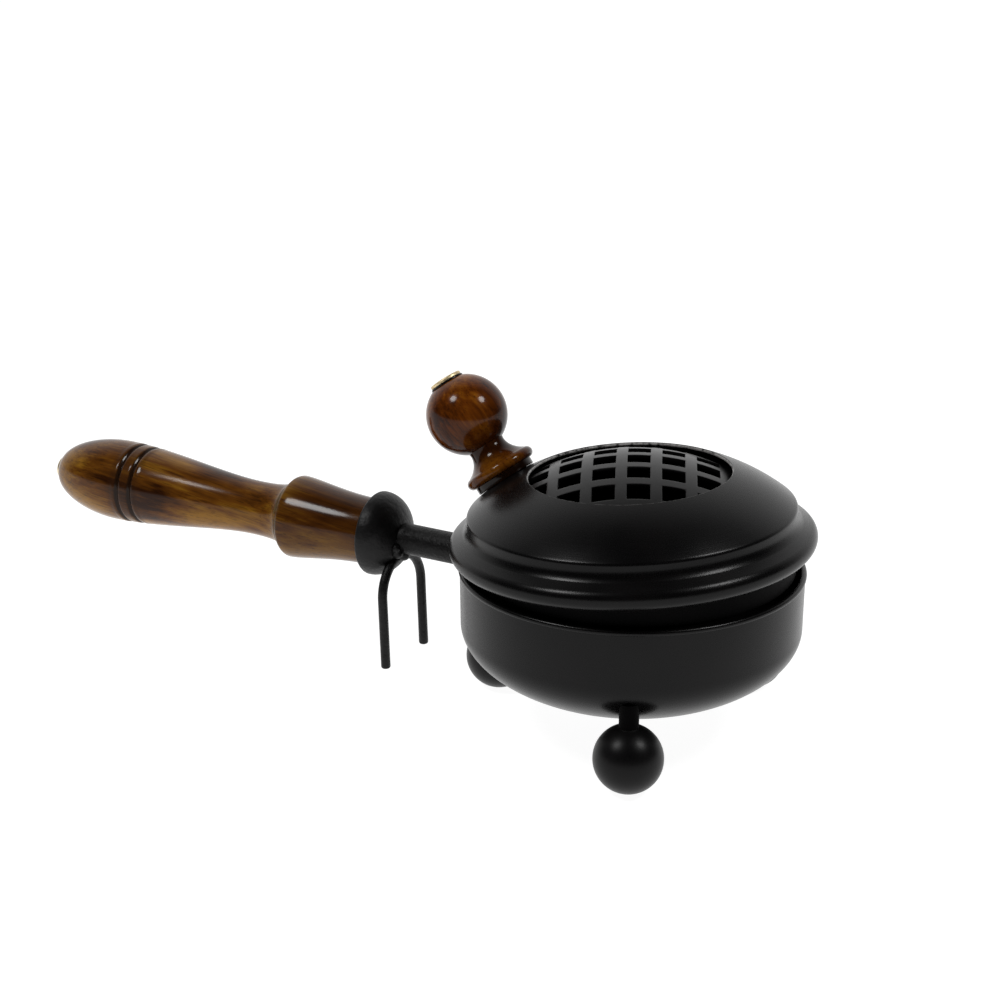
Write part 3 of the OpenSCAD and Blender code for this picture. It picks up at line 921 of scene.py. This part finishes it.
class PAN_OT_lid(bpy.types.Operator):
    """Spins the lid: its dome, its rounded shoulder and the hollow bead round its edge"""

    bl_idname = "pan.lid"
    bl_label = "Lid"

    def execute(self, context):
        sizes = context.scene.pan_sizes
        wall = sizes.lid_wall / MM
        opening = sizes.opening_radius / MM
        outside = (arc(DOME_CENTRE, DOME_R, dome_angle(opening + 0.35), dome_angle(SHOULDER_R), 40)
                   + arc((SHOULDER_R - 1.04, 12.69), 1.6, 42, 0, 8)
                   + arc(COVE_CENTRE, COVE_R, 184, 228, 14)
                   + arc(BEAD_CENTRE, BEAD_R, 56, -84, 36) + [(49.2, HEM_Z), (47.7, HEM_Z)])
        under = (dome_angle(SHOULDER_R - 0.8, wall), dome_angle(opening + 0.4, wall))
        inside = ([(47.5, HEM_Z + 0.2), (47.5, HEM_Z + wall)] + arc(BEAD_CENTRE, BEAD_R - wall, -86, 56, 24)
                  + arc(COVE_CENTRE, COVE_R + wall, 226, 182, 12)
                  + arc(DOME_CENTRE, DOME_R - wall, *under, 40))
        lip = arc((opening + 0.5, dome_height(opening + 0.5) - wall / 2), 0.5, 260, 100, 8)
        lid = lathe("lid_dome", outside + inside + lip, on_lid(), steps=192, closed=True)
        paint_over(lid, black_paint("lid_paint", on_lid(), bare_edge=opening))
        hand_over(lid, "lid", "black_steel", "lid_shell")
        inner = SKIRT_R - 0.9
        skirt = [(SKIRT_R, 0.4), (48.8, 0.4), (49, 0.6), (49, 1.1), (48.9, HEM_Z), (inner + 0.4, HEM_Z),
                 (inner, 0.8), (inner, 0.2 - SKIRT_DROP), (inner + 0.2, -SKIRT_DROP),
                 (SKIRT_R - 0.2, -SKIRT_DROP), (SKIRT_R, 0.2 - SKIRT_DROP)]
        ring = lathe("lid_skirt_ring", skirt, on_lid(), steps=192, closed=True)
        paint_over(ring, black_paint("skirt_paint", on_lid(), rough=0.5, shine=0.03))
        hand_over(ring, "lid", "black_steel", "lid_skirt")
        return {"FINISHED"}


class PAN_OT_grille(bpy.types.Operator):
    """Punches the domed grille: a sheet with square holes, bent over a ball, with a plain flange"""

    bl_idname = "pan.grille"
    bl_label = "Grille"

    ball = 64.5
    ball_centre = (-1.0, -35.7)
    sheet = 1.2
    turn = math.radians(25.9)
    shift = (2.75, -0.75)
    dome_edge = 33.8
    brim_edge = 36.4
    brim_height = 19.7

    def execute(self, context):
        sizes = context.scene.pan_sizes
        grille = self.punched_sheet(sizes.grille_pitch, sizes.grille_hole)
        self.trim(grille, (self.dome_edge + 0.4) * MM)
        self.bend(grille)
        use_modifier(grille, "SOLIDIFY", thickness=self.sheet * MM, offset=-1)
        use_modifier(grille, "BEVEL", width=0.16 * MM, segments=2, limit_method="ANGLE",
                     angle_limit=math.radians(40))
        settle(grille, on_lid())
        flange = lathe("grille_flange", self.flange(), on_lid(), steps=144, closed=True)
        clear_selection()
        flange.select_set(True)
        grille.select_set(True)
        context.view_layer.objects.active = grille
        bpy.ops.object.join()
        smooth(grille, 30)
        paint_over(grille, black_paint("grille_paint", rough=0.30, shine=0.22))
        hand_over(grille, "lid", "black_steel", "grille")
        return {"FINISHED"}

    def punched_sheet(self, pitch, hole):
        """A sheet of square cells, each inset by half a bar, with the inner squares taken out."""
        clear_selection()
        cells = 9
        bpy.ops.mesh.primitive_grid_add(x_subdivisions=cells, y_subdivisions=cells, size=cells * pitch)
        sheet = bpy.context.object
        sheet.name = "punched_grille"
        sheet.data.name = "punched_grille"
        bpy.ops.object.mode_set(mode="EDIT")
        bpy.ops.mesh.select_all(action="SELECT")
        bpy.ops.mesh.inset(thickness=(pitch - hole) / 2, use_individual=True, use_even_offset=True)
        bpy.ops.mesh.delete(type="FACE")
        bpy.ops.mesh.select_all(action="SELECT")
        bpy.ops.mesh.subdivide(number_cuts=3)
        bpy.ops.object.mode_set(mode="OBJECT")
        offset = Matrix.Translation((self.shift[0] * MM, self.shift[1] * MM, 0))
        settle(sheet, Matrix.Rotation(self.turn, 4, "Z") @ offset)
        return sheet

    def trim(self, sheet, radius):
        """Takes off the faces outside a circle."""
        pick(sheet)
        bpy.ops.object.mode_set(mode="EDIT")
        bpy.ops.mesh.select_mode(type="FACE")
        bpy.ops.mesh.select_all(action="DESELECT")
        bpy.ops.object.mode_set(mode="OBJECT")
        for face in sheet.data.polygons:
            face.select = face.center.xy.length > radius
        bpy.ops.object.mode_set(mode="EDIT")
        bpy.ops.mesh.delete(type="FACE")
        bpy.ops.mesh.select_mode(type="VERT")
        bpy.ops.object.mode_set(mode="OBJECT")

    def bend(self, sheet):
        """Lays the flat sheet over the ball, whose centre is a little off the lid's axis."""
        across, sink = self.ball_centre
        for vertex in sheet.data.vertices:
            out = Vector((vertex.co.x / MM - across, vertex.co.y / MM)).length
            vertex.co.z = (sink + math.sqrt(self.ball**2 - out**2)) * MM

    def flange(self):
        """The plain band at the dome's edge and the flat brim that is welded inside the lid."""
        high, low = self.brim_height, self.brim_height - self.sheet
        edge, soft = self.brim_edge, 0.1
        top = [(32.2, high + 0.35), (33.2, high + 0.1), (34.0, high), (edge - soft, high), (edge, high - soft)]
        return top + [(edge, low + soft), (edge - soft, low), (34.0, low), (33.0, low + 0.1), (32.2, low + 0.35)]


class PAN_OT_knob(bpy.types.Operator):
    """Turns the wooden knob, and the screw and washer in its flat top"""

    bl_idname = "pan.knob"
    bl_label = "Knob"

    def execute(self, context):
        radius = context.scene.handle_sizes.knob_radius / MM
        flat = 5.3
        top = KNOB_BALL_W + math.sqrt(radius**2 - flat**2)
        wide = KNOB_FOOT_R
        foot = ([(2.1, 0), (3.5, 0), (6, -0.19), (wide - 0.3, -0.46),
                 (wide - 0.1, -0.4), (wide, -0.2), (wide, 1.5)]
                + arc((wide, 3.2), 1.7, -78, 80, 12)
                + curve((9.0, 5.2), (7.4, 6.1), (5.6, 7.9), (5.5, 10.3), 14))
        ball = arc((0, KNOB_BALL_W), radius, -62, math.degrees(math.acos(flat / radius)), 44)
        outline = foot + ball + [(flat - 0.4, top), (2.1, top)]
        knob = lathe("turned_knob", outline, on_knob(), steps=128, closed=True)
        grain = on_knob() @ Matrix.Rotation(math.radians(12), 4, "X")
        paint_over(knob, varnished_wood("knob_varnish", grain, self.marks))
        hand_over(knob, "lid", "turned_wood", "knob")
        self.screw(context, top)
        return {"FINISHED"}

    def marks(self, finish, colour, roughness, coat):
        """Painted shade darkens the wood under the ball, in the neck and on the plinth."""
        along = finish.axes(finish.turned_to(on_knob()))[2] * 1000
        neck = finish.remap(abs(along - 9.5), 1.0, 4.6, 0.70, 0.0)
        under_ball = finish.remap(along, 12.0, 21.0, 0.45, 0.0)
        plinth = finish.remap(along, 1.2, 2.2, 0.95, 0.0)
        colour = finish.blend(1.0, colour, KNOB_TINT, "MULTIPLY")
        # Painted shade: darker toward the ball's underside and in the neck under it
        colour = finish.blend(under_ball, colour, KNOB_PAINTED_SHADE)
        colour = finish.blend(neck, colour, KNOB_PAINTED_SHADE)
        # Painted shade: the plinth under the torus is darkened to read as a shadow
        colour = finish.blend(plinth, colour, PLINTH_PAINTED_SHADE)
        return colour, roughness, coat

    def screw(self, context, top):
        head, disc = top + 0.5, 4.9
        outline = ([(0, -7), (1.6, -7), (2, -6.6), (2, head),
                    (disc - 0.2, head), (disc, head + 0.2), (disc, head + 0.6)]
                   + arc((disc - 0.5, head + 0.6), 0.5, 0, 80, 6)
                   + curve((4, head + 1.15), (3, head + 1.3), (1.5, head + 1.35), (0, head + 1.35), 6))
        screw = lathe("knob_screw_disc", outline, on_knob(), steps=96)
        paint_over(screw, brushed_metal("knob_brass", tuple_of(context.scene.pan_finishes.brass), 0.38))
        hand_over(screw, "lid", "brass", "knob_screw")
        ring = [(2.05, top), (5.1, top), (5.2, top + 0.1), (5.2, top + 0.4), (5.1, head), (2.05, head)]
        washer = lathe("knob_cap_washer", ring, on_knob(), steps=96, closed=True)
        paint_over(washer, black_paint("cap_washer_paint"))
        hand_over(washer, "lid", "black_steel", "knob_top_washer")


class PAN_OT_small_parts(bpy.types.Operator):
    """Finishes the hinge, the knob's nut and washer and the other parts that keep their frame shape"""

    bl_idname = "pan.small_parts"
    bl_label = "Hinge and nut"

    def execute(self, context):
        nodes = frame["nodes"]
        hinge = black_paint("hinge_paint", rough=0.40, grain=0.10)
        for name in ("hinge_barrel", "hinge_weld", "hinge_strap"):
            paint_over(nodes[name], hinge)
        zinc = brushed_metal("zinc", ZINC, 0.35)
        for name in ("hinge_pin", "knob_washer", "knob_nut"):
            paint_over(nodes[name], zinc)
        return {"FINISHED"}


# ---------------------------------------------------------------- panel and start


class PAN_PT_panel(bpy.types.Panel):
    """Lists the steps in the order they are made"""

    bl_idname = "PAN_PT_panel"
    bl_label = "Charcoal Pan"
    bl_space_type = "VIEW_3D"
    bl_region_type = "UI"
    bl_category = "Charcoal Pan"

    def draw(self, context):
        scene = context.scene
        for group in (scene.pan_sizes, scene.handle_sizes, scene.pan_finishes):
            box = self.layout.box()
            for name in group.bl_rna.properties.keys():
                if name not in ("rna_type", "name"):
                    box.prop(group, name)
        for step in STEPS:
            self.layout.operator(step.bl_idname)


SETTINGS = (PanSizes, HandleSizes, Finishes)
STEPS = (PAN_OT_stage, PAN_OT_bowl, PAN_OT_feet, PAN_OT_rod, PAN_OT_ferrule, PAN_OT_grip, PAN_OT_handle_end,
         PAN_OT_fork, PAN_OT_lid, PAN_OT_grille, PAN_OT_knob, PAN_OT_small_parts)


def register():
    for kind in (*SETTINGS, *STEPS, PAN_PT_panel):
        bpy.utils.register_class(kind)
    bpy.types.Scene.pan_sizes = bpy.props.PointerProperty(type=PanSizes)
    bpy.types.Scene.handle_sizes = bpy.props.PointerProperty(type=HandleSizes)
    bpy.types.Scene.pan_finishes = bpy.props.PointerProperty(type=Finishes)


def unregister():
    del bpy.types.Scene.pan_finishes
    del bpy.types.Scene.handle_sizes
    del bpy.types.Scene.pan_sizes
    for kind in (PAN_PT_panel, *STEPS[::-1], *SETTINGS[::-1]):
        bpy.utils.unregister_class(kind)


def main():
    register()
    for step in STEPS:
        group, name = step.bl_idname.split(".")
        getattr(getattr(bpy.ops, group), name)()
    bpy.context.view_layer.update()


if __name__ == "__main__":
    main()
